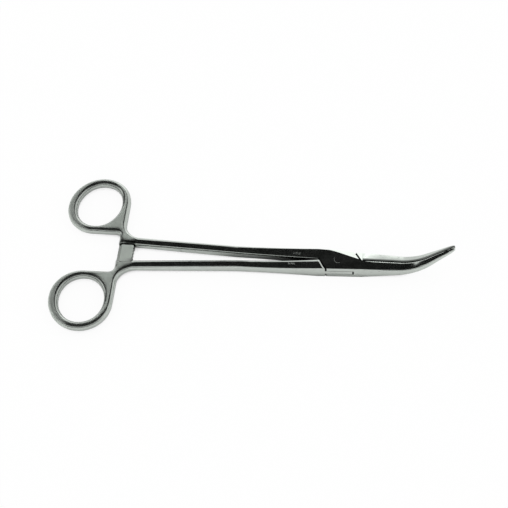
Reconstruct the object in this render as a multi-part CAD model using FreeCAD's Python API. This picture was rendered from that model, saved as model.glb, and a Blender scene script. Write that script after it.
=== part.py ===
import FreeCAD, Part
import math
import os

os.makedirs("parts", exist_ok=True)

# Curved hemostatic forceps, lying on its side on a table, in millimetres.
# The pivot is the Z axis and the table is Z = 0. +X points to the jaw tips.
# The female arm has its ring on the +Y side and carries the pin. The male arm
# has its ring on the -Y side, passes through the lock and forms the +Y jaw.

# Box lock
LOCK_THICKNESS = 6.4
LOCK_BACK_X = -9.2
LOCK_FRONT_X = 10.8
LOCK_BACK_HALF_WIDTH = 5.45
LOCK_FRONT_HALF_WIDTH = 4.85
LOCK_ROUNDING = 0.45
FRONT_SHOULDER_RADIUS = 8.3
BACK_SHOULDER_RADIUS = 7.25
SHOULDER_ANGLE = 29.0
FRONT_SHOULDER_CLEARANCE = 0.9
BACK_SHOULDER_CLEARANCE = 0.6
SHOULDER_BEVEL_WIDTH = 0.6
SHOULDER_BEVEL_SLOPE = 22.0
CHEEK_THICKNESS = 2.0
SLOT_RADIUS = 8.7
SLOT_CLEARANCE = 0.2
SLOT_END_CLEARANCE = 0.5
CROWN_CORNER_X = -4.5
CROWN_SLOPE = 18.0

# Pivot pin, set flush and closed over in the female arm
PIN_RADIUS = 1.75
PIN_RECESS = 0.02
PIN_RIM_CHAMFER = 0.05
PIN_RUNNING_CLEARANCE = 0.05

# Shanks, from the lock back to the neck of the ring
SHANK_SPLIT_GAP = 0.7
SHANK_WAIST_X = -46.0
SHANK_WAIST_CENTRE_Y = 3.8
SHANK_WAIST_WIDTH = 3.9
SHANK_WAIST_HEIGHT = 4.7
SHANK_SWELL_X = -24.0
SHANK_SWELL_WIDTH = 4.6
SHANK_SWELL_HEIGHT = 4.9
SHANK_WAIST_ROUNDING = 1.2
SHANK_SWELL_INNER_ROUNDING = 1.0
SHANK_SWELL_OUTER_ROUNDING = 0.8
SHANK_SWELL_BEVEL = 1.2
SHANK_LOCK_INNER_ROUNDING = 0.4
SHANK_LOCK_BEVEL = 1.4
SHANK_BEVEL_SLOPE = 17.0
NECK_X = -92.0
NECK_CENTRE_Y = 6.3
NECK_WIDTH = 4.2

# Finger rings, oval, with the long axis turned towards the neck
RING_THICKNESS = 4.4
RING_ROUNDING = 1.9
RING_CENTRE_X = -113.9
RING_CENTRE_Y = 26.4
RING_LONG_RADIUS = 15.6
RING_SHORT_RADIUS = 14.4
RING_TURN = 66.0
RING_LONG_BAND = 3.5
RING_SHORT_BAND = 4.0
HOLE_OFFSET_X = 0.3
HOLE_OFFSET_Y = -0.2
HOLE_TURN = 79.0
NECK_BACK_X = -101.2
NECK_BACK_ROUNDING = 2.6

# Ratchet racks, one on each arm, lying over each other
RACK_BACK_X = -101.0
RACK_FRONT_X = -94.0
RACK_END_GAP = 0.7
RACK_FACE_GAP = 0.15
RACK_BACK_BEVEL = 1.8
RACK_ROOT_DEPTH = 1.6
TOOTH_PITCH = 1.7
TOOTH_DEPTH = 0.75
TOOTH_COUNT = 4
TOOTH_END_DEPTH = 0.3

# Jaws: straight at the root, then bent out of the plane of the rings in one arc, straight to the tip
JAW_GAP = 0.1
JAW_RISE_ANGLE = 1.5
JAW_BEND_START_X = 26.1
JAW_BEND_RADIUS = 20.5
JAW_BEND_ANGLE = 42.6
JAW_TIP_X = 50.6
JAW_POINT_LENGTH = 1.8
JAW_BEND_START_HEIGHT = 5.0
JAW_BEND_END_HEIGHT = 2.5
JAW_TIP_HEIGHT = 1.3
JAW_POINT_HEIGHT = 0.9
JAW_BEND_START_WIDTH = 4.3
JAW_BEND_END_WIDTH = 3.25
JAW_TIP_WIDTH = 1.8
JAW_POINT_WIDTH = 1.1
JAW_BEND_START_ROUNDING = 1.5
JAW_BEND_END_ROUNDING = 0.5
JAW_TIP_ROUNDING = 0.3
JAW_POINT_ROUNDING = 0.2
JAW_BEVEL_SLOPE = 17.0
JAW_SECTION_COUNT = 3
MALE_JAW_ROOT_SLOPE = 17.0
MALE_JAW_SLOPE = 12.0
MALE_JAW_BEVEL = 0.5
FEMALE_JAW_ROOT_SLOPE = 0.0
FEMALE_JAW_SLOPE = 2.0
FEMALE_JAW_BEVEL = 0.75
SERRATION_PITCH = 1.0
SERRATION_DEPTH = 0.28
SERRATION_END_MARGIN = 1.0

# A rounded edge is cut as this many flats
ROUND_FLAT_COUNT = 3
# A rounding takes at most this share of the wall it lies on
ROUNDING_SHARE = 0.6
# Points closer than this touch
TOUCH = 0.001

# Values worked out from the sizes above
MID_Z = LOCK_THICKNESS / 2
SPLIT_Y = SHANK_SPLIT_GAP / 2
MATING_Y = JAW_GAP / 2
SLOT_HALF_HEIGHT = MID_Z - CHEEK_THICKNESS
NECK_LEAN = math.atan2(SHANK_WAIST_CENTRE_Y - NECK_CENTRE_Y, SHANK_WAIST_X - NECK_X)
NECK = FreeCAD.Vector(NECK_X, NECK_CENTRE_Y, 0)
NECK_ALONG = FreeCAD.Vector(math.cos(NECK_LEAN), math.sin(NECK_LEAN), 0)
NECK_ACROSS = FreeCAD.Vector(-math.sin(NECK_LEAN), math.cos(NECK_LEAN), 0)


def vec(x, y, z=0.0):
    return FreeCAD.Vector(x, y, z)


def rounded_corner(before, corner, after, radius):
    """The points of a corner rounded by flats that all touch the same arc, or the sharp corner."""
    if radius == 0:
        return [corner]
    to_last = (before - corner).normalize()
    to_next = (after - corner).normalize()
    half_angle = to_last.getAngle(to_next) / 2
    centre = corner + (to_last + to_next).normalize() * (radius / math.sin(half_angle))
    setback = radius / math.tan(half_angle)
    first = (corner + to_last * setback - centre).normalize()
    last = (corner + to_next * setback - centre).normalize()
    turn = first.getAngle(last)
    step = turn / (ROUND_FLAT_COUNT + 1)
    reach = radius / math.cos(step / 2)
    points = []
    for i in range(ROUND_FLAT_COUNT + 1):
        angle = step * (i + 1 / 2)
        facing = first * math.sin(turn - angle) + last * math.sin(angle)
        points.append(centre + facing * (reach / math.sin(turn)))
    return points


def section(corners, radii, origin, across, up):
    """Closed wire of a polygon with rounded corners, in the plane of across and up."""
    spots = [origin + across * a + up * b for a, b in corners]
    points = []
    for i, spot in enumerate(spots):
        after = spots[(i + 1) % len(spots)]
        points += rounded_corner(spots[i - 1], spot, after, radii[i])
    return Part.makePolygon(points + points[:1])


def mirrored_pairs(upper):
    """A closed profile from its upper half: the same points below, in reverse order."""
    return [(a, -b) for a, b in reversed(upper)] + upper


def prism(edges, low_z, high_z):
    face = Part.Face(Part.Wire(edges))
    face.translate(vec(0, 0, low_z))
    return face.extrude(vec(0, 0, high_z - low_z))


def polygon_edges(points):
    closed = points + points[:1]
    return [Part.LineSegment(vec(*a), vec(*b)).toShape() for a, b in zip(closed, closed[1:])]


def half_width(x):
    """Half the width of the closed lock at x: its two sides taper evenly towards the jaws."""
    share = (x - LOCK_BACK_X) / (LOCK_FRONT_X - LOCK_BACK_X)
    return LOCK_BACK_HALF_WIDTH + (LOCK_FRONT_HALF_WIDTH - LOCK_BACK_HALF_WIDTH) * share


def side_point(radius, forward):
    """Where a circle about the pivot meets the side of the lock, ahead of or behind it."""
    slope = (LOCK_FRONT_HALF_WIDTH - LOCK_BACK_HALF_WIDTH) / (LOCK_FRONT_X - LOCK_BACK_X)
    middle = half_width(0)
    a = 1 + slope * slope
    b = slope * middle
    c = middle * middle - radius * radius
    root = math.sqrt(b * b - a * c)
    x = (root - b) / a if forward else (-root - b) / a
    return x, half_width(x)


def shoulder_edges(radius, forward, gap):
    """The edge between cheek and shoulder: an arc about the pivot outside, then a straight line.

    It starts at the side of the lock. Ahead of the pivot it lies on +Y, behind it on -Y, and it
    ends where it meets the arm that carries the cheek, on the other side of the middle line.
    """
    sign = 1 if forward else -1
    angle = math.radians(SHOULDER_ANGLE)
    side_x, side_y = side_point(radius, forward)
    side_angle = math.atan2(side_y, abs(side_x))
    halfway = (side_angle + angle) / 2
    corner = vec(side_x, sign * side_y)
    on_arc = vec(sign * radius * math.cos(halfway), sign * radius * math.sin(halfway))
    foot = vec(sign * radius * math.cos(angle), sign * radius * math.sin(angle))
    run = (foot.y * sign + gap) / math.cos(angle)
    inner = vec(foot.x + sign * run * math.sin(angle), -sign * gap)
    arc = Part.Arc(corner, on_arc, foot).toShape()
    line = Part.LineSegment(foot, inner).toShape()
    return corner, inner, [arc, line]


def cheek_prism(front_radius, back_radius):
    """The lock's middle between both shoulders, closed along the arms' own sides."""
    front_corner, front_inner, front = shoulder_edges(front_radius, True, MATING_Y)
    back_corner, back_inner, back = shoulder_edges(back_radius, False, SPLIT_Y)
    far_side = [
        back_inner,
        vec(LOCK_BACK_X, SPLIT_Y),
        vec(LOCK_BACK_X, half_width(LOCK_BACK_X)),
        front_corner,
    ]
    near_side = [
        front_inner,
        vec(LOCK_FRONT_X, -MATING_Y),
        vec(LOCK_FRONT_X, -half_width(LOCK_FRONT_X)),
        back_corner,
    ]
    edges = front + back
    for side in (far_side, near_side):
        edges += [Part.LineSegment(a, b).toShape() for a, b in zip(side, side[1:])]
    return prism(Part.__sortEdges__(edges), 0, LOCK_THICKNESS)


def half_box(forward, gap, low_z, high_z):
    """The part of the lock on one side of the pivot and of the line between the arms."""
    sign = 1 if forward else -1
    end_x = LOCK_FRONT_X if forward else LOCK_BACK_X
    points = [
        (0, sign * gap),
        (end_x, sign * gap),
        (end_x, sign * half_width(end_x)),
        (0, sign * half_width(0)),
    ]
    return prism(polygon_edges(points), low_z, high_z)


def falling_cutters(plan, out, slope):
    """Cutters for both faces of the lock, whose cut starts at the plan's edge and falls outward."""
    drop = LOCK_THICKNESS * math.tan(math.radians(slope))
    cutters = []
    for face_z, side in ((LOCK_THICKNESS, 1), (0, -1)):
        fall = out * LOCK_THICKNESS - vec(0, 0, side * drop)
        cutter = plan.extrude(fall * 2)
        cutter.translate(vec(0, 0, face_z) - fall)
        cutters.append(cutter)
    return cutters


def crown_cutters():
    """Both faces of the lock fall away towards the side of the male jaw.

    The edge of this fall leaves the side of the lock in an arc and runs straight to the jaws.
    """
    reach = LOCK_FRONT_X - LOCK_BACK_X
    back = vec(LOCK_BACK_X, half_width(LOCK_BACK_X))
    corner = vec(CROWN_CORNER_X, half_width(CROWN_CORNER_X))
    front = vec(LOCK_FRONT_X, MATING_Y)
    to_back = (back - corner).normalize()
    to_front = (front - corner).normalize()
    setback = (corner - back).Length
    arc_end = corner + to_front * setback
    half_angle = to_back.getAngle(to_front) / 2
    middle = (to_back + to_front).normalize()
    arc_mid = corner + middle * (setback / math.cos(half_angle) * (1 - math.sin(half_angle)))
    outside = [
        arc_end,
        front + to_front * reach,
        front + to_front * reach + vec(0, reach),
        back + to_back * reach + vec(0, reach),
        back + to_back * reach,
        back,
    ]
    edges = [Part.Arc(back, arc_mid, arc_end).toShape()]
    edges += [Part.LineSegment(a, b).toShape() for a, b in zip(outside, outside[1:])]
    return falling_cutters(Part.Face(Part.Wire(edges)), vec(-to_front.y, to_front.x), CROWN_SLOPE)


def shoulder_cutters():
    """The back root of the male arm falls away towards the cheek that it looks at."""
    angle = math.radians(SHOULDER_ANGLE)
    inward = vec(math.cos(angle), math.sin(angle))
    along = vec(-inward.y, inward.x) * LOCK_THICKNESS
    deep = inward * LOCK_THICKNESS
    start = inward * -(BACK_SHOULDER_RADIUS + BACK_SHOULDER_CLEARANCE + SHOULDER_BEVEL_WIDTH)
    corners = [start - along, start + along, start + along + deep, start - along + deep]
    plan = Part.Face(Part.makePolygon(corners + corners[:1]))
    return falling_cutters(plan, inward, SHOULDER_BEVEL_SLOPE)


def split_cutters():
    """The bevel of the male shank's inner edges, carried on through its back root."""
    edge_y = -SPLIT_Y - SHANK_LOCK_BEVEL
    corners = [
        vec(LOCK_BACK_X, edge_y),
        vec(0, edge_y),
        vec(0, 0),
        vec(LOCK_BACK_X, 0),
    ]
    plan = Part.Face(Part.makePolygon(corners + corners[:1]))
    return falling_cutters(plan, vec(0, 1), SHANK_BEVEL_SLOPE)


def lock_bar():
    """The whole lock as one bar with rounded long edges, tapering evenly towards the jaws."""
    wires = []
    for x in (LOCK_BACK_X, LOCK_FRONT_X):
        a = half_width(x)
        corners = mirrored_pairs([(a, MID_Z), (-a, MID_Z)])
        wires.append(section(corners, [LOCK_ROUNDING] * 4, vec(x, 0, MID_Z), vec(0, 1), vec(0, 0, 1)))
    return Part.makeLoft(wires, True, True)


def shank_section(spot, across, size, bevel, drop, inner, outer):
    """One section of a shank, as width and height, with bevelled and rounded inner edges."""
    width, height = size
    a = width / 2
    b = height / 2
    corners = mirrored_pairs([(a, b), (bevel - a, b), (-a, b - drop)])
    radii = [inner, 0, outer, outer, 0, inner]
    return section(corners, radii, spot + vec(0, 0, MID_Z), across, vec(0, 0, 1))


def shank():
    """The +Y shank, from the neck of the ring to the back of the lock."""
    lock_centre = (SPLIT_Y + LOCK_BACK_HALF_WIDTH) / 2
    lock_width = LOCK_BACK_HALF_WIDTH - SPLIT_Y
    swell_centre = (SHANK_WAIST_CENTRE_Y + lock_centre) / 2
    square = vec(0, 1)
    fall = math.tan(math.radians(SHANK_BEVEL_SLOPE))
    at_neck = ring_rounding()
    waist_round = SHANK_WAIST_ROUNDING
    # Up to the waist the inner edge has no bevel, and the bevel's line lies in the flat face
    neck = shank_section(NECK, NECK_ACROSS, (NECK_WIDTH, RING_THICKNESS), NECK_WIDTH / 2, 0,
                         at_neck, at_neck)
    waist = shank_section(vec(SHANK_WAIST_X, SHANK_WAIST_CENTRE_Y), square,
                          (SHANK_WAIST_WIDTH, SHANK_WAIST_HEIGHT), SHANK_WAIST_WIDTH / 2, 0,
                          waist_round, waist_round)
    swell = shank_section(vec(SHANK_SWELL_X, swell_centre), square,
                          (SHANK_SWELL_WIDTH, SHANK_SWELL_HEIGHT), SHANK_SWELL_BEVEL,
                          SHANK_SWELL_BEVEL * fall, SHANK_SWELL_INNER_ROUNDING, SHANK_SWELL_OUTER_ROUNDING)
    end = shank_section(vec(LOCK_BACK_X, lock_centre), square, (lock_width, LOCK_THICKNESS),
                        SHANK_LOCK_BEVEL, SHANK_LOCK_BEVEL * fall, SHANK_LOCK_INNER_ROUNDING,
                        LOCK_ROUNDING)
    straight = Part.makeLoft([neck, waist], True, True)
    swelling = Part.makeLoft([waist, swell, end], True, False)
    return [straight, swelling]


class Oval:
    """An oval of four tangent arcs. Its first radius lies at this turn from X."""

    def __init__(self, x, y, first_radius, second_radius, turn):
        self.centre = vec(x, y)
        self.turn = math.radians(turn)
        long_radius = first_radius
        short_radius = second_radius
        if second_radius > first_radius:
            long_radius = second_radius
            short_radius = first_radius
            self.turn += math.pi / 2
        self.end_radius = (short_radius * short_radius / long_radius + short_radius) / 2
        self.end_offset = long_radius - self.end_radius
        spare = short_radius - self.end_radius
        self.side_offset = (self.end_offset ** 2 - spare ** 2) / (2 * spare)
        self.side_radius = short_radius + self.side_offset
        self.change = math.atan2(self.side_offset, self.end_offset)

    def point(self, facing):
        """The point whose outward direction is this angle from X."""
        local = (facing - self.turn) % (2 * math.pi)
        change = self.change
        if change < local < math.pi - change:
            middle, radius = vec(0, -self.side_offset), self.side_radius
        elif math.pi + change < local < 2 * math.pi - change:
            middle, radius = vec(0, self.side_offset), self.side_radius
        else:
            side = 1 if math.cos(local) > 0 else -1
            middle, radius = vec(side * self.end_offset, 0), self.end_radius
        spot = middle + vec(radius * math.cos(local), radius * math.sin(local))
        c = math.cos(self.turn)
        s = math.sin(self.turn)
        return self.centre + vec(spot.x * c - spot.y * s, spot.x * s + spot.y * c)

    def arcs(self, start, end):
        """The arcs between two outward directions, anticlockwise."""
        quarter_turns = [self.change, math.pi - self.change, math.pi + self.change, -self.change]
        stops = []
        for angle in quarter_turns:
            stop = start + (angle + self.turn - start) % (2 * math.pi)
            if stop < end:
                stops.append(stop)
        stops = [start] + sorted(stops) + [end]
        arcs = []
        for a, b in zip(stops, stops[1:]):
            arcs.append(Part.Arc(self.point(a), self.point((a + b) / 2), self.point(b)).toShape())
        return arcs


def ring_outline():
    """The +Y ring with its neck, seen from above, open to the shank where it is cut off."""
    oval = Oval(RING_CENTRE_X, RING_CENTRE_Y, RING_LONG_RADIUS, RING_SHORT_RADIUS, RING_TURN)
    brow = oval.point(0)
    heel = oval.point(-math.pi / 2)
    outer_end = NECK + NECK_ACROSS * (NECK_WIDTH / 2)
    inner_end = NECK - NECK_ACROSS * (NECK_WIDTH / 2)
    # The outer side leaves the shank in one arc and meets the front of the oval in a straight line
    flare = (outer_end.x - brow.x) / (1 - NECK_ACROSS.x)
    flare_centre = outer_end + NECK_ACROSS * flare
    flare_middle = flare_centre - (NECK_ACROSS + vec(1, 0)).normalize() * flare
    flare_end = flare_centre - vec(flare, 0)
    # The inner side runs along the heel, round to the back of the neck and on to the shank
    r = NECK_BACK_ROUNDING
    toe = inner_end - NECK_ALONG * ((inner_end.x - NECK_BACK_X) / NECK_ALONG.x)
    bend_centre = vec(NECK_BACK_X - r, heel.y - r)
    bend_start = bend_centre + vec(0, r)
    bend_middle = bend_centre + vec(r, r) * math.sqrt(1 / 2)
    bend_end = bend_centre + vec(r, 0)
    edges = oval.arcs(0, 3 * math.pi / 2) + [
        Part.LineSegment(heel, bend_start).toShape(),
        Part.Arc(bend_start, bend_middle, bend_end).toShape(),
        Part.LineSegment(bend_end, toe).toShape(),
        Part.LineSegment(toe, inner_end).toShape(),
        Part.LineSegment(inner_end, outer_end).toShape(),
        Part.Arc(outer_end, flare_middle, flare_end).toShape(),
        Part.LineSegment(flare_end, brow).toShape(),
    ]
    return Part.Wire(Part.__sortEdges__(edges))


def level_edges(solid, rises):
    """Edges that lie level this far above and below the middle, without the neck's cut end."""
    found = []
    for edge in solid.Edges:
        start = edge.valueAt(edge.FirstParameter)
        middle = edge.valueAt((edge.FirstParameter + edge.LastParameter) / 2)
        level = abs(start.z - middle.z) < TOUCH
        at_height = any(abs(abs(middle.z - MID_Z) - rise) < TOUCH for rise in rises)
        on_cut = abs((middle - NECK).dot(NECK_ALONG)) < TOUCH
        if level and at_height and not on_cut:
            found.append(edge)
    return found


def hole_outline():
    x = RING_CENTRE_X + HOLE_OFFSET_X
    y = RING_CENTRE_Y + HOLE_OFFSET_Y
    hole = Oval(x, y, RING_LONG_RADIUS - RING_LONG_BAND, RING_SHORT_RADIUS - RING_SHORT_BAND, HOLE_TURN)
    return Part.Wire(Part.__sortEdges__(hole.arcs(0, 2 * math.pi)))


def ring_rounding():
    """The rounding of the ring and neck, as far as their thinnest wall has room for it."""
    band = ring_outline().distToShape(hole_outline())[0]
    return min(RING_ROUNDING, ROUNDING_SHARE * min(band, RING_THICKNESS, NECK_WIDTH))


def ring():
    """The +Y finger ring with its neck: cut from a plate, with its rims rounded in three flats."""
    plate = Part.Face(ring_outline()).cut(Part.Face(hole_outline())).Faces[0]
    half = RING_THICKNESS / 2
    plate.translate(vec(0, 0, MID_Z - half))
    blank = plate.extrude(vec(0, 0, RING_THICKNESS))
    # One wide flat at half a right angle, then a narrow one on each of its two edges
    step = math.pi / 2 / (ROUND_FLAT_COUNT + 1)
    rounding = ring_rounding()
    wide = rounding * (2 - math.sqrt(2))
    narrow = rounding * (math.tan(step) - math.tan(step / 2))
    bevelled = blank.makeChamfer(wide, level_edges(blank, [half]))
    return bevelled.makeChamfer(narrow, level_edges(bevelled, [half, half - wide]))


def blend(first, second, share):
    return [a + (b - a) * share for a, b in zip(first, second)]


def jaw_places():
    """Places along a jaw: spot on its middle line, slope there, and [height, width, rounding]."""
    rise = math.radians(JAW_RISE_ANGLE)
    bend = math.radians(JAW_BEND_ANGLE)
    at_lock = [LOCK_THICKNESS, LOCK_FRONT_HALF_WIDTH, LOCK_ROUNDING]
    at_start = [JAW_BEND_START_HEIGHT, JAW_BEND_START_WIDTH, JAW_BEND_START_ROUNDING]
    at_end = [JAW_BEND_END_HEIGHT, JAW_BEND_END_WIDTH, JAW_BEND_END_ROUNDING]
    at_tip = [JAW_TIP_HEIGHT, JAW_TIP_WIDTH, JAW_TIP_ROUNDING]
    at_point = [JAW_POINT_HEIGHT, JAW_POINT_WIDTH, JAW_POINT_ROUNDING]
    lock_end = vec(LOCK_FRONT_X, 0, MID_Z)
    root = vec(1, 0, math.tan(rise)) * (JAW_BEND_START_X - LOCK_FRONT_X)
    bend_centre = lock_end + root + vec(-math.sin(rise), 0, math.cos(rise)) * JAW_BEND_RADIUS
    bend_end = bend_centre + vec(math.sin(bend), 0, -math.cos(bend)) * JAW_BEND_RADIUS
    beak = vec(1, 0, math.tan(bend)) * (JAW_TIP_X - JAW_POINT_LENGTH - bend_end.x)
    point = vec(1, 0, math.tan(bend)) * JAW_POINT_LENGTH
    places = [(lock_end, 0, at_lock)]
    for i in range(1, JAW_SECTION_COUNT):
        share = i / JAW_SECTION_COUNT
        places.append((lock_end + root * share, rise, blend(at_lock, at_start, share)))
    for i in range(JAW_SECTION_COUNT + 1):
        share = i / (JAW_SECTION_COUNT + 1)
        slope = rise + (bend - rise) * share
        spot = bend_centre + vec(math.sin(slope), 0, -math.cos(slope)) * JAW_BEND_RADIUS
        places.append((spot, slope, blend(at_start, at_end, share)))
    for i in range(JAW_SECTION_COUNT + 1):
        share = i / JAW_SECTION_COUNT
        places.append((bend_end + beak * share, bend, blend(at_end, at_tip, share)))
    places.append((bend_end + beak + point, bend, at_point))
    return places


def jaw_bar(root_slope, face_slope, bevel):
    """The +Y jaw: half a rounded bar, flat where it bites, tapering to the tip.

    Its faces fall outward from a ridge. On the other side of the ridge a bevel falls to the bite.
    """
    bevel_fall = math.tan(math.radians(JAW_BEVEL_SLOPE))
    wires = []
    for i, (spot, slope, sizes) in enumerate(jaw_places()):
        height, width, rounding = sizes
        up = vec(-math.sin(slope), 0, math.cos(slope))
        at_lock = i == 0
        ridge = MATING_Y + bevel * width / LOCK_FRONT_HALF_WIDTH
        high = height / 2
        bite = high if at_lock else high - (ridge - MATING_Y) * bevel_fall
        fall = math.tan(math.radians(root_slope if at_lock else face_slope))
        side = high - (width - ridge) * fall
        outer = min(rounding, ROUNDING_SHARE * 2 * side)
        corners = mirrored_pairs([(width, side), (ridge, high), (MATING_Y, bite)])
        wires.append(section(corners, [0, 0, outer, outer, 0, 0], spot, vec(0, 1), up))
    return Part.makeLoft(wires, True, False)


def serration_cutters(shift):
    """Triangular grooves across the bite of the +Y jaw, square to its bent middle line."""
    spine = Part.BSplineCurve()
    spine.interpolate(Points=[spot for spot, slope, sizes in jaw_places()])
    length = spine.length() - 2 * SERRATION_END_MARGIN
    cutters = []
    for i in range(int(length / SERRATION_PITCH)):
        place = spine.parameterAtDistance(SERRATION_END_MARGIN + (i + shift) * SERRATION_PITCH)
        along = vec(*spine.tangent(place)[0])
        up = vec(-along.z, 0, along.x)
        bottom = spine.value(place) + vec(0, MATING_Y) - up * LOCK_THICKNESS
        half = along * (SERRATION_PITCH / 2)
        apex = bottom + vec(0, SERRATION_DEPTH)
        cutters.append(cutting_prism([bottom - half, apex, bottom + half], up * (2 * LOCK_THICKNESS)))
    return cutters


def cutting_prism(points, sweep):
    edges = [Part.LineSegment(a, b).toShape() for a, b in zip(points, points[1:] + points[:1])]
    return Part.Face(Part.Wire(edges)).extrude(sweep)


def jaw(root_slope, face_slope, bevel, shift):
    return jaw_bar(root_slope, face_slope, bevel).cut(serration_cutters(shift))


def rack():
    """The +Y arm's ratchet rack, in the lower half, with its teeth facing up."""
    top = MID_Z - RACK_FACE_GAP / 2
    low = MID_Z - RING_THICKNESS / 2
    inner_y = NECK_CENTRE_Y - NECK_WIDTH / 2
    start_y = inner_y + RACK_ROOT_DEPTH
    end_y = RACK_END_GAP - inner_y
    profile = [
        vec(RACK_BACK_X, start_y, top),
        vec(RACK_BACK_X, start_y, low + RACK_BACK_BEVEL),
        vec(RACK_BACK_X + RACK_BACK_BEVEL, start_y, low),
        vec(RACK_FRONT_X, start_y, low),
        vec(RACK_FRONT_X, start_y, top),
    ]
    bar = cutting_prism(profile, vec(0, end_y - start_y))
    first_y = -TOOTH_PITCH * TOOTH_COUNT / 2
    across = vec(RACK_FRONT_X - RACK_BACK_X, 0)
    teeth = []
    for i in range(TOOTH_COUNT):
        y = first_y + i * TOOTH_PITCH
        gullet = [
            vec(RACK_BACK_X, y, MID_Z),
            vec(RACK_BACK_X, y, top - TOOTH_DEPTH),
            vec(RACK_BACK_X, y + TOOTH_PITCH, top),
            vec(RACK_BACK_X, y + TOOTH_PITCH, MID_Z),
        ]
        notch = [
            vec(RACK_FRONT_X, y, low),
            vec(RACK_FRONT_X - TOOTH_END_DEPTH, y + TOOTH_PITCH / 2, low),
            vec(RACK_FRONT_X, y + TOOTH_PITCH, low),
        ]
        teeth.append(cutting_prism(gullet, across))
        teeth.append(cutting_prism(notch, vec(0, 0, top - low)))
    return bar.cut(teeth)


def handle():
    """The +Y handle: ring, neck, shank and rack, up to the back of the lock."""
    return ring().fuse(shank() + [rack()])


def turned_over(shape):
    """The same shape on the other side of the middle line, with its faces swapped."""
    copy = shape.copy()
    copy.rotate(vec(0, 0, MID_Z), vec(1, 0, 0), 180)
    return copy


def pin_cylinder(radius, low_z, high_z):
    return Part.makeCylinder(radius, high_z - low_z, vec(0, 0, low_z))


def slot():
    """The window through the lock: round at its closed ends, open where the male arm swings."""
    low = MID_Z - SLOT_HALF_HEIGHT
    height = 2 * SLOT_HALF_HEIGHT
    reach = LOCK_FRONT_X - LOCK_BACK_X
    round_part = pin_cylinder(SLOT_RADIUS, low, low + height)
    ahead = Part.makeBox(reach, reach, height, vec(0, -MATING_Y, low))
    behind = Part.makeBox(reach, reach, height, vec(-reach, SPLIT_Y - reach, low))
    return round_part.fuse([ahead, behind])


def waist():
    """The thinned part of the male arm that turns in the slot."""
    low = MID_Z - SLOT_HALF_HEIGHT + SLOT_CLEARANCE
    high = MID_Z + SLOT_HALF_HEIGHT - SLOT_CLEARANCE
    disc = pin_cylinder(SLOT_RADIUS - SLOT_END_CLEARANCE, low, high)
    ahead = half_box(True, MATING_Y, low, high)
    behind = half_box(False, SPLIT_Y, low, high)
    return disc.fuse([ahead, behind])


def female_arm():
    block = cheek_prism(FRONT_SHOULDER_RADIUS, BACK_SHOULDER_RADIUS).common(lock_bar())
    lock = block.cut([slot(), pin_cylinder(PIN_RADIUS, 0, LOCK_THICKNESS)] + crown_cutters())
    near_jaw = jaw(FEMALE_JAW_ROOT_SLOPE, FEMALE_JAW_SLOPE, FEMALE_JAW_BEVEL, 1 / 2)
    return handle().fuse([lock, near_jaw.mirror(vec(0, 0), vec(0, 1))])


def male_arm():
    front_radius = FRONT_SHOULDER_RADIUS + FRONT_SHOULDER_CLEARANCE
    back_radius = BACK_SHOULDER_RADIUS + BACK_SHOULDER_CLEARANCE
    swing_room = cheek_prism(front_radius, back_radius)
    front_root = half_box(True, MATING_Y, 0, LOCK_THICKNESS).cut(swing_room)
    back_root = half_box(False, SPLIT_Y, 0, LOCK_THICKNESS).cut(swing_room)
    back_root = back_root.cut(shoulder_cutters() + split_cutters())
    hole = pin_cylinder(PIN_RADIUS + PIN_RUNNING_CLEARANCE, 0, LOCK_THICKNESS)
    lock = waist().fuse([front_root, back_root]).common(lock_bar()).cut([hole] + crown_cutters())
    far_jaw = jaw(MALE_JAW_ROOT_SLOPE, MALE_JAW_SLOPE, MALE_JAW_BEVEL, 0)
    return turned_over(handle()).fuse([lock, far_jaw])


def pivot_pin():
    low = PIN_RECESS
    high = LOCK_THICKNESS - PIN_RECESS
    pin = pin_cylinder(PIN_RADIUS, low, high)
    return pin.makeChamfer(PIN_RIM_CHAMFER, pin_rims(pin))


def pin_rims(pin):
    return [edge for edge in pin.Edges if isinstance(edge.Curve, Part.Circle)]


for name, shape in (("female_arm", female_arm()), ("male_arm", male_arm()), ("pivot_pin", pivot_pin())):
    if len(shape.Solids) == 1:
        shape = shape.Solids[0]
    print(name, shape.isValid(), len(shape.Solids), round(shape.Volume, 1), shape.BoundBox)
    shape.exportStep("parts/" + name + ".step")
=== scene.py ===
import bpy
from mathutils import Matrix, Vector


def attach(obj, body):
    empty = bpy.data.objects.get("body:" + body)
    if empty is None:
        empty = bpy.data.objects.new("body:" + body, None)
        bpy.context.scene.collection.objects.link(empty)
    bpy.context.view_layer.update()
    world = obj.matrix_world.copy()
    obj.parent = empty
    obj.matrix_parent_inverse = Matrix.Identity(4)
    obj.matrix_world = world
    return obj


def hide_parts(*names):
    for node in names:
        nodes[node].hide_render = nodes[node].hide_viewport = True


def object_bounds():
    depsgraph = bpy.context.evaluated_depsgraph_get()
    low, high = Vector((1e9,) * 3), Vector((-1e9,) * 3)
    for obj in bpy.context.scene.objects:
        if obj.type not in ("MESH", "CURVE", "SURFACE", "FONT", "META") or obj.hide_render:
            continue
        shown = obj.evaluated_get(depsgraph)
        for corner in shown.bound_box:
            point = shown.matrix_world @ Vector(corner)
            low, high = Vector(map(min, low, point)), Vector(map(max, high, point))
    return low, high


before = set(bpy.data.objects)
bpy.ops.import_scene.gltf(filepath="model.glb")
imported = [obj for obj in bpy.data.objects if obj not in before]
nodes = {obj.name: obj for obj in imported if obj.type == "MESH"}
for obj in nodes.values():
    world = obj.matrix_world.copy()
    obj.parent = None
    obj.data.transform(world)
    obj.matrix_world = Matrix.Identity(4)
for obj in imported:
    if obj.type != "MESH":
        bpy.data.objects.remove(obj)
cad_box = [list(corner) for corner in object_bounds()]

# %% [markdown]
# A curved hemostatic forceps: two forged arms of stainless steel, crossed in a box lock and held
# by a flush pin. The frame that was just loaded already has the true shape of all three pieces. So
# this lesson makes no new shape for them. It shades their roundings smoothly, gives them the finish
# of polished steel, and lights them so that the polish can be read.

# %% Imports
import math

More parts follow.
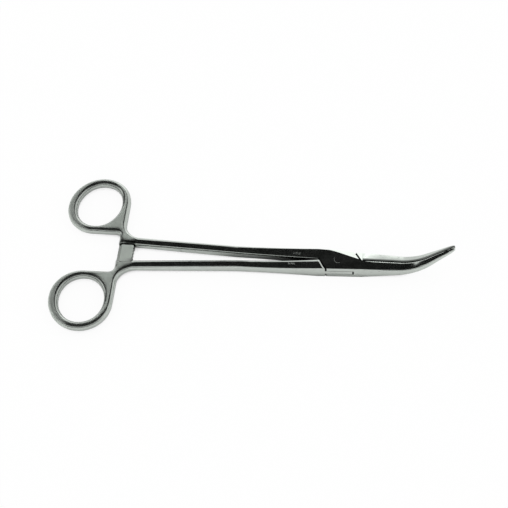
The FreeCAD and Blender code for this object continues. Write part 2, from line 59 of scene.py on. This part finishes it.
import bmesh
import bpy
from mathutils import Matrix, Vector

scene = bpy.context.scene
MM = 0.001
low_corner, high_corner = (Vector(corner) for corner in cad_box)
print("size in mm:", [round(v / MM, 1) for v in high_corner - low_corner])

# %% [markdown]
# The camera comes first, because every reflection in polished steel depends on where it stands.
# The view is from the near side, 55 degrees up, with the rings on the left. The camera looks at a
# point on the shanks and is rolled a little, so that the instrument slants on the page.

# %% Camera
VIEW_ELEVATION = math.radians(55.0)
VIEW_AZIMUTH = math.radians(-10.01)
VIEW_ROLL = math.radians(-5.65)
VIEW_DISTANCE = 553.1 * MM
VIEW_TARGET = Vector((-38.5, 3.0, 3.2)) * MM
FOCAL_IN_PIXELS = 1215.6
FRAME_IN_PIXELS = 508
SENSOR = 36.0


def view_axes(azimuth, elevation, roll):
    """Right, up and backward directions of a camera that looks at the target."""
    backward = Vector((
        -math.sin(azimuth) * math.cos(elevation),
        -math.cos(azimuth) * math.cos(elevation),
        math.sin(elevation),
    ))
    level_right = Vector((math.cos(azimuth), -math.sin(azimuth), 0.0))
    level_up = backward.cross(level_right)
    right = level_right * math.cos(roll) + level_up * math.sin(roll)
    up = level_up * math.cos(roll) - level_right * math.sin(roll)
    return right, up, backward


def add_camera():
    right, up, backward = view_axes(VIEW_AZIMUTH, VIEW_ELEVATION, VIEW_ROLL)
    data = bpy.data.cameras.new("camera")
    data.sensor_width = SENSOR
    data.lens = FOCAL_IN_PIXELS / FRAME_IN_PIXELS * SENSOR
    camera = bpy.data.objects.new("camera", data)
    scene.collection.objects.link(camera)
    turn = Matrix((right, up, backward)).transposed().to_4x4()
    camera.matrix_world = Matrix.Translation(VIEW_TARGET + backward * VIEW_DISTANCE) @ turn
    scene.camera = camera
    return camera


camera = add_camera()
print("lens in mm:", round(camera.data.lens, 1))

# %% [markdown]
# A small kit for node trees: it makes one node, sets its inputs by name and wires it up, and it
# does sums with them, so that each finish below reads as a short recipe.

# %% Node helpers


def make_tree(owner):
    owner.use_nodes = True
    tree = owner.node_tree
    tree.nodes.clear()
    return tree


def add_node(tree, kind, inputs=None, **settings):
    node = tree.nodes.new("ShaderNode" + kind)
    for name, value in settings.items():
        setattr(node, name, value)
    for name, value in (inputs or {}).items():
        socket = node.inputs[name]
        if isinstance(value, bpy.types.NodeSocket):
            tree.links.new(value, socket)
        else:
            socket.default_value = value
    return node


def calculate(tree, operation, *values):
    node = add_node(tree, "Math", dict(enumerate(values)), operation=operation)
    return node.outputs[0]


def product(tree, first, *others):
    """All the values multiplied together."""
    for other in others:
        first = calculate(tree, "MULTIPLY", first, other)
    return first


def between(tree, share, low, high):
    """The value that lies this share of the way from low to high."""
    return add_node(tree, "MapRange", {"Value": share, "To Min": low, "To Max": high}).outputs[0]


# %% [markdown]
# Polished steel has almost no colour of its own: what it shows is the room. Only the part of the
# room that mirrors can see is shaped here. It is a studio with a dark ceiling and pale walls. A
# bright window stands on the far side, a dark curtain hangs behind the rings, and the near wall has
# a dark skirting. Faces that look straight up mirror the ceiling and turn black, the crown of the
# lock mirrors the window, and the upper faces of the bent jaws mirror the curtain. Matt things,
# such as the floor, are lit from all sides by plain soft light of strength 1.

# %% Angle helpers


def angle_fade(tree, value, start, end, low, high):
    """Low up to the start, high from the end on, with angles given in degrees."""
    node = add_node(tree, "MapRange", {
        "Value": value,
        "From Min": math.radians(start),
        "From Max": math.radians(end),
        "To Min": low,
        "To Max": high,
    })
    return node.outputs[0]


def off_bearing(tree, bearing, towards):
    """How far a bearing is from this one, in radians, the short way round."""
    away = calculate(tree, "SUBTRACT", bearing, math.radians(towards))
    return calculate(tree, "ABSOLUTE", calculate(tree, "WRAP", away, math.pi, -math.pi))


# %% [markdown]
# The room is one sum of angles. Each wall, window or curtain is a range of heights or bearings in
# degrees with a soft edge, and its level is how bright a mirror shows it. A backdrop of real lamps
# and cards could do the same, but it would stand in the way when the view goes round.

# %% Room
CEILING_LEVEL = 0.008
WALL_LEVEL = 0.9
WINDOW_LEVEL = 1.65
WALL_TOP = 36.0
NEAR_WALL_TOP = 22.0
CEILING_EDGE = 44.0
NEAR_CEILING_EDGE = 36.0
WINDOW_TOP = 24.0
WINDOW_EDGE = 29.0
WINDOW_TOWARDS = 83.0
WINDOW_INNER = 9.0
WINDOW_OUTER = 14.0
CURTAIN_TOWARDS = 149.0
CURTAIN_INNER = 8.5
CURTAIN_OUTER = 12.0
SKIRTING_TOWARDS = -97.0
SKIRTING_INNER = 60.0
SKIRTING_OUTER = 90.0
SKIRTING_TOP = 12.0
SKIRTING_EDGE = 16.0


def build_room():
    world = bpy.data.worlds.new("room")
    scene.world = world
    tree = make_tree(world)
    direction = add_node(tree, "TexCoord").outputs["Generated"]
    split = add_node(tree, "SeparateXYZ", {"Vector": direction})
    height = calculate(tree, "ARCSINE", split.outputs["Z"])
    bearing = calculate(tree, "ARCTAN2", split.outputs["Y"], split.outputs["X"])
    off_window = off_bearing(tree, bearing, WINDOW_TOWARDS)
    off_curtain = off_bearing(tree, bearing, CURTAIN_TOWARDS)
    off_skirting = off_bearing(tree, bearing, SKIRTING_TOWARDS)
    beside_window = angle_fade(tree, off_window, WINDOW_INNER, WINDOW_OUTER, 0.0, 1.0)
    above_window = angle_fade(tree, height, WINDOW_TOP, WINDOW_EDGE, 0.0, 1.0)
    clear_of_window = calculate(tree, "MAXIMUM", beside_window, above_window)
    level = between(tree, clear_of_window, WINDOW_LEVEL, WALL_LEVEL)
    below_far = angle_fade(tree, height, WALL_TOP, CEILING_EDGE, 1.0, 0.0)
    below_near = angle_fade(tree, height, NEAR_WALL_TOP, NEAR_CEILING_EDGE, 1.0, 0.0)
    beside_curtain = angle_fade(tree, off_curtain, CURTAIN_INNER, CURTAIN_OUTER, 0.0, 1.0)
    above_skirting = angle_fade(tree, height, SKIRTING_TOP, SKIRTING_EDGE, 0.0, 1.0)
    beside_skirting = angle_fade(tree, off_skirting, SKIRTING_INNER, SKIRTING_OUTER, 0.0, 1.0)
    clear_of_skirting = calculate(tree, "MAXIMUM", above_skirting, beside_skirting)
    below_ceiling = between(tree, beside_skirting, below_near, below_far)
    level = product(tree, level, below_ceiling, beside_curtain, clear_of_skirting)
    level = calculate(tree, "MAXIMUM", level, CEILING_LEVEL)
    path = add_node(tree, "LightPath")
    studio = add_node(tree, "Background", {"Color": level, "Strength": 1.0})
    plain = add_node(tree, "Background", {"Color": (1.0, 1.0, 1.0, 1.0), "Strength": 1.0})
    mix = add_node(tree, "MixShader", {
        0: path.outputs["Is Glossy Ray"],
        1: plain.outputs[0],
        2: studio.outputs[0],
    })
    add_node(tree, "OutputWorld", {"Surface": mix.outputs[0]})
    print("room has", len(tree.nodes), "nodes")


build_room()

# %% [markdown]
# The floor is a plain white sheet. Part of it is an even white to the camera and to whatever
# mirrors it, so that the page stays white; the rest is a matt surface, which keeps the soft
# contact shadow of the instrument. The steel mirrors more of that shadow than the camera sees, as
# it looks at the sheet from very close by. In the narrow gaps under and between the shanks, shade
# is painted into the even white as well.

# %% Floor
FLOOR_Z = low_corner.z
FLOOR_HALF = 2.0
FLOOR_COLOUR = (0.95, 0.95, 0.95, 1.0)
WHITE_TO_CAMERA = 0.93
WHITE_TO_STEEL = 0.1
CONTACT_REACH = 4.5 * MM
CONTACT_FROM = 0.05
CONTACT_TO = 0.38
CONTACT_LEVEL = 0.2


def build_floor():
    mesh = bpy.data.meshes.new("floor")
    builder = bmesh.new()
    bmesh.ops.create_grid(builder, x_segments=1, y_segments=1, size=FLOOR_HALF)
    bmesh.ops.translate(builder, verts=builder.verts, vec=(0.0, 0.0, FLOOR_Z))
    builder.to_mesh(mesh)
    builder.free()
    floor = bpy.data.objects.new("floor", mesh)
    scene.collection.objects.link(floor)
    material = bpy.data.materials.new("floor")
    tree = make_tree(material)
    path = add_node(tree, "LightPath")
    to_camera = product(tree, path.outputs["Is Camera Ray"], WHITE_TO_CAMERA)
    glossy = path.outputs["Is Glossy Ray"]
    mirrored = calculate(tree, "MAXIMUM", glossy, path.outputs["Is Transmission Ray"])
    share = calculate(tree, "MULTIPLY_ADD", mirrored, WHITE_TO_STEEL, to_camera)
    sheet = add_node(tree, "BsdfDiffuse", {"Color": FLOOR_COLOUR})
    open_air = add_node(tree, "AmbientOcclusion", {"Distance": CONTACT_REACH}, samples=8).outputs["AO"]
    # Painted shade: the even white is darkened where the floor sees little open air.
    contact = add_node(tree, "MapRange", {
        "Value": open_air,
        "From Min": CONTACT_FROM,
        "From Max": CONTACT_TO,
        "To Min": CONTACT_LEVEL,
        "To Max": 1.0,
    })
    white = add_node(tree, "Emission", {"Color": contact.outputs[0], "Strength": 1.0})
    mix = add_node(tree, "MixShader", {0: share, 1: sheet.outputs[0], 2: white.outputs[0]})
    add_node(tree, "OutputMaterial", {"Surface": mix.outputs[0]})
    mesh.materials.append(material)
    print("floor at z in mm:", round(FLOOR_Z / MM, 2))


build_floor()

# %% [markdown]
# A polisher's wheel leaves no steps on an edge. In the frame each rounding is three narrow flats,
# which is enough for its shape but shows as bands in a mirror. So each arm gets a copy whose
# facets are joined, with smooth shading over all edges but the crisp ones. Wide flats keep their
# own direction and the rounding bends between them. Only the lock keeps every edge crisp, because
# it is ground last, on a flat wheel.

# %% Smooth arms
JOIN_DISTANCE = 0.001 * MM
LOCK_END_X = 10.8 * MM
LOCK_START_X = -9.2 * MM
CRISP_FROM = math.radians(32.0)
CRISP_ON_LOCK_FROM = math.radians(8.0)
FLAT_WEIGHT = 80


def is_crisp(edge):
    """Whether a polisher would keep this edge, judged by its angle and its place."""
    if not edge.is_manifold:
        return True
    angle = edge.calc_face_angle(0.0)
    x = (edge.verts[0].co.x + edge.verts[1].co.x) / 2
    on_lock = LOCK_START_X < x < LOCK_END_X
    return angle > (CRISP_ON_LOCK_FROM if on_lock else CRISP_FROM)


def smooth_copy(name, body):
    node = nodes[name]
    builder = bmesh.new()
    builder.from_mesh(node.data)
    bmesh.ops.transform(builder, matrix=node.matrix_world, verts=builder.verts)
    bmesh.ops.remove_doubles(builder, verts=builder.verts, dist=JOIN_DISTANCE)
    for edge in builder.edges:
        edge.smooth = not is_crisp(edge)
    for face in builder.faces:
        face.smooth = True
    mesh = bpy.data.meshes.new("smooth_" + name)
    builder.to_mesh(mesh)
    builder.free()
    if "custom_normal" in mesh.attributes:
        mesh.attributes.remove(mesh.attributes["custom_normal"])
    mesh.materials.clear()
    piece = bpy.data.objects.new("smooth_" + name, mesh)
    scene.collection.objects.link(piece)
    normals = piece.modifiers.new("flats", "WEIGHTED_NORMAL")
    normals.keep_sharp = True
    normals.weight = FLAT_WEIGHT
    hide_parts(name)
    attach(piece, body)
    return piece


arms = [smooth_copy("female_arm", "female"), smooth_copy("male_arm", "male")]
for arm in arms:
    print(arm.name, len(arm.data.vertices), "points,", len(arm.data.polygons), "facets")

# %% [markdown]
# The arms are ground and polished by hand, and not every face gets the same wheel. Maps of where
# each finish lies could be painted on an unwrapped surface. Here they are worked out from the place
# and the direction of a face, because that needs no unwrapping and stays sharp from close by. These
# helpers read a place, fade from one place to another and find the faces that lie level.

# %% Place helpers
LEVEL_FROM = 0.998
LEVEL_FULL = 0.999


def coordinates(tree, vector):
    """The X, Y and Z of a place or a direction, by name."""
    return add_node(tree, "SeparateXYZ", {"Vector": vector}).outputs


def place_fade(tree, value, start, end, low=0.0, high=1.0):
    """Low up to the start, high from the end on, with a soft bend at both."""
    node = add_node(tree, "MapRange", {
        "Value": value,
        "From Min": start,
        "From Max": end,
        "To Min": low,
        "To Max": high,
    }, interpolation_type="SMOOTHSTEP")
    return node.outputs[0]


def face_direction(tree):
    """Where a facet truly looks, before any smooth shading."""
    return coordinates(tree, add_node(tree, "NewGeometry").outputs["True Normal"])


def level_share(tree):
    """1 on faces that look straight up or down."""
    upright = calculate(tree, "ABSOLUTE", face_direction(tree)["Z"])
    return place_fade(tree, upright, LEVEL_FROM, LEVEL_FULL)


# %% [markdown]
# The flat faces of the ring webs stay as the cutter left them, which is satin. So a level face is
# satin from the web to the start of its shank, and half satin along the crest of the ring, where
# fingers wear it. Along the near edges the wheel has already begun to round the flat over, and the
# satin stops short of them: a rounded direction that leans to the near side shows where.

# %% Ring webs
WEB_START_X = -111.0 * MM
WEB_FULL_X = -107.0 * MM
WEB_END_X = -97.0 * MM
SHANK_START_X = -92.0 * MM
CREST_SATIN = 0.55
WHEEL_REACH = 2.6 * MM
LEAN_FROM = -0.03
LEAN_FULL = -0.11


def web_share(tree, place, level):
    """1 on the flat faces of the ring webs, 0 from their near edges and from the shanks on."""
    x = coordinates(tree, place)["X"]
    rounded = add_node(tree, "Bevel", {"Radius": WHEEL_REACH}, samples=4).outputs["Normal"]
    return product(
        tree,
        place_fade(tree, x, WEB_START_X, WEB_FULL_X, CREST_SATIN, 1.0),
        place_fade(tree, x, WEB_END_X, SHANK_START_X, 1.0, 0.0),
        place_fade(tree, coordinates(tree, rounded)["Y"], LEAN_FULL, LEAN_FROM),
        level,
    )


print("webs in mm:", round(WEB_FULL_X / MM, 1), "to", round(WEB_END_X / MM, 1))

# %% [markdown]
# The backs of the rings, away from the shanks, are brushed rather than polished. That holds for
# all faces there but those that look into the finger hole, which have a direction towards the jaws.
# Shade is also painted into the colour of the backs, so they come out a little darker.

# %% Ring backs, with painted shade
BACK_START_X = -116.0 * MM
BACK_FULL_X = -121.0 * MM
BACK_SATIN = 0.85
BACK_LEVEL = 0.86
INWARD_FROM = 0.02
INWARD_FULL = 0.06


def back_share(tree, place):
    """Nearly 1 on the outer and upper faces at the back of each ring."""
    x = coordinates(tree, place)["X"]
    inward = face_direction(tree)["X"]
    return product(
        tree,
        place_fade(tree, x, BACK_FULL_X, BACK_START_X, BACK_SATIN, 0.0),
        place_fade(tree, inward, INWARD_FROM, INWARD_FULL, 1.0, 0.0),
    )


def painted_back_shade(tree, place):
    """Painted shade: how much darker the steel colour is made at the back of each ring."""
    x = coordinates(tree, place)["X"]
    return place_fade(tree, x, BACK_FULL_X, BACK_START_X, BACK_LEVEL, 1.0)


print("ring backs behind x in mm:", round(BACK_FULL_X / MM, 1))

# %% [markdown]
# The ratchet is satin all over, because no wheel fits between its teeth. Shade is painted into the
# colour at the roots of its two racks and along the bevel at its back, where the steel looks
# darker. Faces that lie level get no painted shade.

# %% Ratchet, with painted shade
RACK_FRONT_X = -93.5 * MM
RACK_HALF_LENGTH = 4.0 * MM
RACK_BACK_X = -99.2 * MM
RACK_BACK_SHADE = 0.6
RACK_ROOT_FROM_Y = 3.9 * MM
RACK_ROOT_TO_Y = 5.7 * MM
RACK_ROOT_EDGE = 0.5 * MM
RACK_ROOT_FULL_X = RACK_BACK_X + 2.0 * MM
RACK_ROOT_SHADE = 0.3


def rack_share(tree, place):
    """1 on both racks of the ratchet."""
    where = coordinates(tree, place)
    off_middle = calculate(tree, "ABSOLUTE", where["Y"])
    return product(
        tree,
        calculate(tree, "LESS_THAN", off_middle, RACK_HALF_LENGTH),
        calculate(tree, "LESS_THAN", where["X"], RACK_FRONT_X),
    )


def painted_rack_shade(tree, place, level):
    """Painted shade at the roots and the back bevel of the ratchet, left off faces that lie level."""
    where = coordinates(tree, place)
    off_middle = calculate(tree, "ABSOLUTE", where["Y"])
    root = product(
        tree,
        place_fade(tree, off_middle, RACK_ROOT_FROM_Y - RACK_ROOT_EDGE, RACK_ROOT_FROM_Y),
        place_fade(tree, off_middle, RACK_ROOT_TO_Y, RACK_ROOT_TO_Y + RACK_ROOT_EDGE, 1.0, 0.0),
        calculate(tree, "LESS_THAN", where["X"], RACK_FRONT_X),
        place_fade(tree, where["X"], RACK_BACK_X, RACK_ROOT_FULL_X),
    )
    back = product(
        tree,
        calculate(tree, "LESS_THAN", where["X"], RACK_BACK_X),
        calculate(tree, "LESS_THAN", off_middle, RACK_ROOT_TO_Y),
    )
    shade = product(
        tree,
        between(tree, root, 1.0, RACK_ROOT_SHADE),
        between(tree, back, 1.0, RACK_BACK_SHADE),
    )
    return calculate(tree, "MAXIMUM", shade, level)


print("racks across y in mm:", round(2 * RACK_HALF_LENGTH / MM, 1))

# %% [markdown]
# Such tools carry a small stamp on each shank next to the lock. A stamp could be cut into the
# shape, but it is shallower than a scratch, and only its frosted ground shows. So each one is a
# small patch with soft edges, broken up by a fine grain and without any text.

# %% Stamps
STAMPS = (
    (Vector((-18.8, 2.65)) * MM, Vector((1.8, 0.75)) * MM),
    (Vector((-20.9, -3.0)) * MM, Vector((1.7, 0.6)) * MM),
)
STAMP_EDGE = 0.25 * MM
STAMP_ABOVE_Z = 5.0 * MM
STAMP_ROUGHNESS = 0.42
STAMP_GRAIN = 2500.0
STAMP_GRAIN_FROM = 0.35
STAMP_GRAIN_FULL = 0.6


def stamp_share(tree, place):
    """1 on the frosted grains of the two patches, which lie on top of the shanks."""
    where = coordinates(tree, place)
    upward = calculate(tree, "GREATER_THAN", where["Z"], STAMP_ABOVE_Z)
    total = 0.0
    for centre, half in STAMPS:
        inside = upward
        for axis, middle, reach in zip("XY", centre, half):
            off = calculate(tree, "ABSOLUTE", calculate(tree, "SUBTRACT", where[axis], middle))
            inside = product(tree, inside, place_fade(tree, off, reach - STAMP_EDGE, reach, 1.0, 0.0))
        total = calculate(tree, "ADD", total, inside)
    noise = add_node(tree, "TexNoise", {"Vector": place, "Scale": STAMP_GRAIN, "Detail": 2.0})
    grain = place_fade(tree, noise.outputs["Fac"], STAMP_GRAIN_FROM, STAMP_GRAIN_FULL)
    return product(tree, total, grain)


print("stamps:", len(STAMPS))

# %% [markdown]
# The pin is hammered flush and ground with the lock, so its joint nearly vanishes. What is left to
# see is part of a thin dull ring around it, on the near side towards the handles. A line on a
# radius shows that better than a gap, which would be too thin to model.

# %% Pin line
PIN_LINE_RADIUS = 1.86 * MM
PIN_LINE_WIDTH = 0.16 * MM
PIN_LINE_ROUGHNESS = 0.5


def pin_line_share(tree, place):
    """1 on part of a thin ring around the pin, on the near side towards the handles."""
    where = coordinates(tree, place)
    flat = add_node(tree, "CombineXYZ", {"X": where["X"], "Y": where["Y"]})
    radius = add_node(tree, "VectorMath", {0: flat.outputs[0]}, operation="LENGTH").outputs["Value"]
    off_line = calculate(tree, "ABSOLUTE", calculate(tree, "SUBTRACT", radius, PIN_LINE_RADIUS))
    towards_jaws = calculate(tree, "ADD", where["X"], where["Y"])
    return product(
        tree,
        place_fade(tree, off_line, 0.0, PIN_LINE_WIDTH, 1.0, 0.0),
        place_fade(tree, towards_jaws, -PIN_LINE_RADIUS, 0.0, 1.0, 0.0),
    )


print("pin line radius in mm:", round(PIN_LINE_RADIUS / MM, 2))

# %% [markdown]
# On the far jaw a dark strip is painted into the colour of the steel along the bite. It is painted
# shade where a rounded edge would turn out of the light. The root of the jaw, just past the lock,
# gets a painted highlight and is the brightest part.

# %% Painted shade and highlight on the far jaw
BITE_WIDTH = 0.9 * MM
BITE_EDGE = 1.7 * MM
BITE_SHADE = 0.22
JAW_ROOT_HIGHLIGHT = 1.5
JAW_ROOT_X = 13.0 * MM
JAW_ROOT_END_X = 20.0 * MM


def painted_jaw_shade_and_highlight(tree, place):
    """Painted shade along the bite and a painted highlight at the root of the far jaw, and 1 on all
    else.
    """
    where = coordinates(tree, place)
    painted_bite_shade = place_fade(tree, where["Y"], BITE_WIDTH, BITE_EDGE, BITE_SHADE, 1.0)
    painted_root_highlight = place_fade(tree, where["X"], JAW_ROOT_X, JAW_ROOT_END_X, JAW_ROOT_HIGHLIGHT, 1.0)
    elsewhere = calculate(
        tree,
        "MAXIMUM",
        calculate(tree, "LESS_THAN", where["Y"], 0.0),
        calculate(tree, "LESS_THAN", where["X"], LOCK_END_X),
    )
    return between(tree, elsewhere, product(tree, painted_bite_shade, painted_root_highlight), 1.0)


print("dark strip along the bite in mm:", round(BITE_WIDTH / MM, 1))

# %% [markdown]
# Use leaves short nicks along the shanks and jaws. A noise that is stretched along the arms gives
# them, and only its rare peaks are kept, so that the steel looks used but not worn.

# %% Nicks
NICK_GRAIN = (350.0, 1400.0, 1400.0)
NICK_FROM = 0.66
NICK_FULL = 0.76
NICK_LEVEL = 0.65


def nick_level(tree, place):
    """How bright the steel is in its nicks, and 1 on all else."""
    along = add_node(tree, "Mapping", {"Vector": place, "Scale": NICK_GRAIN})
    spots = add_node(tree, "TexNoise", {"Vector": along.outputs[0], "Scale": 1.0, "Detail": 1.0})
    nick = place_fade(tree, spots.outputs["Fac"], NICK_FROM, NICK_FULL, 1.0, NICK_LEVEL)
    on_shank = calculate(tree, "GREATER_THAN", coordinates(tree, place)["X"], SHANK_START_X)
    return between(tree, on_shank, 1.0, nick)


print("grain of the nicks per metre:", NICK_GRAIN[0], "along,", NICK_GRAIN[1], "across")

# %% [markdown]
# Where two faces are close together, as beside the lock or between the shanks, shade is painted
# into the colour of the steel, which darkens it there. How much open air a point sees tells where
# that is, so no such place has to be listed.

# %% Painted shade in crevices
CREVICE_REACH = 5.0 * MM
CREVICE_SHADE = 0.04
CREVICE_FROM = 0.25
CREVICE_TO = 0.85


def painted_crevice_shade(tree):
    """Painted shade: how dark the steel colour is made where other faces are close by."""
    open_air = add_node(tree, "AmbientOcclusion", {"Distance": CREVICE_REACH}, samples=8).outputs["AO"]
    return place_fade(tree, open_air, CREVICE_FROM, CREVICE_TO, CREVICE_SHADE, 1.0)


print("crevices reach in mm:", round(CREVICE_REACH / MM, 1))

# %% [markdown]
# One steel can now hold all of this. Its roughness goes from the polish of the shanks to the
# duller polish of the rings and to satin, with the stamps and the pin line in between. A cloudy
# unevenness breaks up the mirror.

# %% Roughness
POLISH_ROUGHNESS = 0.12
RING_ROUGHNESS = 0.24
SATIN_ROUGHNESS = 0.68
CLOUD_GRAIN = 180.0
CLOUD_POLISH = (0.6, 1.4)


def steel_roughness(tree, place, cloud, satin):
    """The polish of each place, with satin over it."""
    x = coordinates(tree, place)["X"]
    polish = place_fade(tree, x, WEB_END_X, SHANK_START_X, RING_ROUGHNESS, POLISH_ROUGHNESS)
    polish = product(tree, polish, place_fade(tree, cloud, 0.0, 1.0, *CLOUD_POLISH))
    polish = between(tree, stamp_share(tree, place), polish, STAMP_ROUGHNESS)
    polish = between(tree, pin_line_share(tree, place), polish, PIN_LINE_ROUGHNESS)
    return between(tree, satin, polish, SATIN_ROUGHNESS)


print("roughness from", POLISH_ROUGHNESS, "to", SATIN_ROUGHNESS)

# %% [markdown]
# The colour is a grey with a trace of green, darker on the rings than on the shanks, clouded a
# little, times the nicks and every painted shade and highlight above. Fine grinding lines run
# along the arms. They are a relief and no colour, so they show only where a reflection grazes them.

# %% Colour and grinding lines
STEEL_GREY = 0.61
RING_GREY = 0.53
SATIN_GREY = 0.86
CLOUD_GREY = (0.9, 1.08)
LINE_GRAIN = (60.0, 2600.0, 2600.0)
LINE_STRENGTH = 0.12
LINE_DEPTH = 0.02 * MM


def steel_colour(tree, place, cloud, satin, level, tint):
    """The tint times the grey of the finish and of the part, the nicks and every painted shade and
    highlight.
    """
    x = coordinates(tree, place)["X"]
    polished = place_fade(tree, x, WEB_END_X, SHANK_START_X, RING_GREY, STEEL_GREY)
    tone = product(
        tree,
        place_fade(tree, cloud, 0.0, 1.0, *CLOUD_GREY),
        between(tree, satin, polished, SATIN_GREY),
        painted_crevice_shade(tree),
        painted_jaw_shade_and_highlight(tree, place),
        nick_level(tree, place),
        painted_rack_shade(tree, place, level),
        painted_back_shade(tree, place),
    )
    return add_node(tree, "VectorMath", {0: tint, "Scale": tone}, operation="SCALE").outputs[0]


def grinding_lines(tree, place):
    """The direction of the surface with fine lines along the arms."""
    along = add_node(tree, "Mapping", {"Vector": place, "Scale": LINE_GRAIN})
    lines = add_node(tree, "TexNoise", {"Vector": along.outputs[0], "Scale": 1.0, "Detail": 3.0})
    relief = add_node(tree, "Bump", {
        "Height": lines.outputs["Fac"],
        "Strength": LINE_STRENGTH,
        "Distance": LINE_DEPTH,
    })
    return relief.outputs[0]


print("greys:", STEEL_GREY, RING_GREY, SATIN_GREY)

# %% [markdown]
# Both arms get the same steel. The pin is turned from a slightly darker bar, so it has a steel of
# its own by the same recipe.

# %% Steel
STEEL_TINT = (0.965, 1.03, 0.965)
PIN_TINT = (0.93, 0.97, 0.93)


def steel(name, tint):
    material = bpy.data.materials.new(name)
    tree = make_tree(material)
    place = add_node(tree, "TexCoord").outputs["Object"]
    noise = add_node(tree, "TexNoise", {
        "Vector": place,
        "Scale": CLOUD_GRAIN,
        "Detail": 4.0,
        "Roughness": 0.6,
    })
    cloud = noise.outputs["Fac"]
    level = level_share(tree)
    flats = calculate(tree, "MAXIMUM", web_share(tree, place, level), back_share(tree, place))
    satin = calculate(tree, "MAXIMUM", flats, rack_share(tree, place))
    shader = add_node(tree, "BsdfPrincipled", {
        "Base Color": steel_colour(tree, place, cloud, satin, level, tint),
        "Metallic": 1.0,
        "Roughness": steel_roughness(tree, place, cloud, satin),
        "Normal": grinding_lines(tree, place),
    })
    add_node(tree, "OutputMaterial", {"Surface": shader.outputs[0]})
    print(name, "has", len(tree.nodes), "nodes")
    return material


arm_steel = steel("polished_steel", STEEL_TINT)
pin_steel = steel("pin_steel", PIN_TINT)
for arm in arms:
    arm.data.materials.append(arm_steel)
for name, node in nodes.items():
    node.data.materials.clear()
    node.data.materials.append(pin_steel if name == "pivot_pin" else arm_steel)

# %% [markdown]
# Last comes the plain view transform, so that the colours are shown as they were set.

# %% Finish
scene.view_settings.view_transform = "Standard"
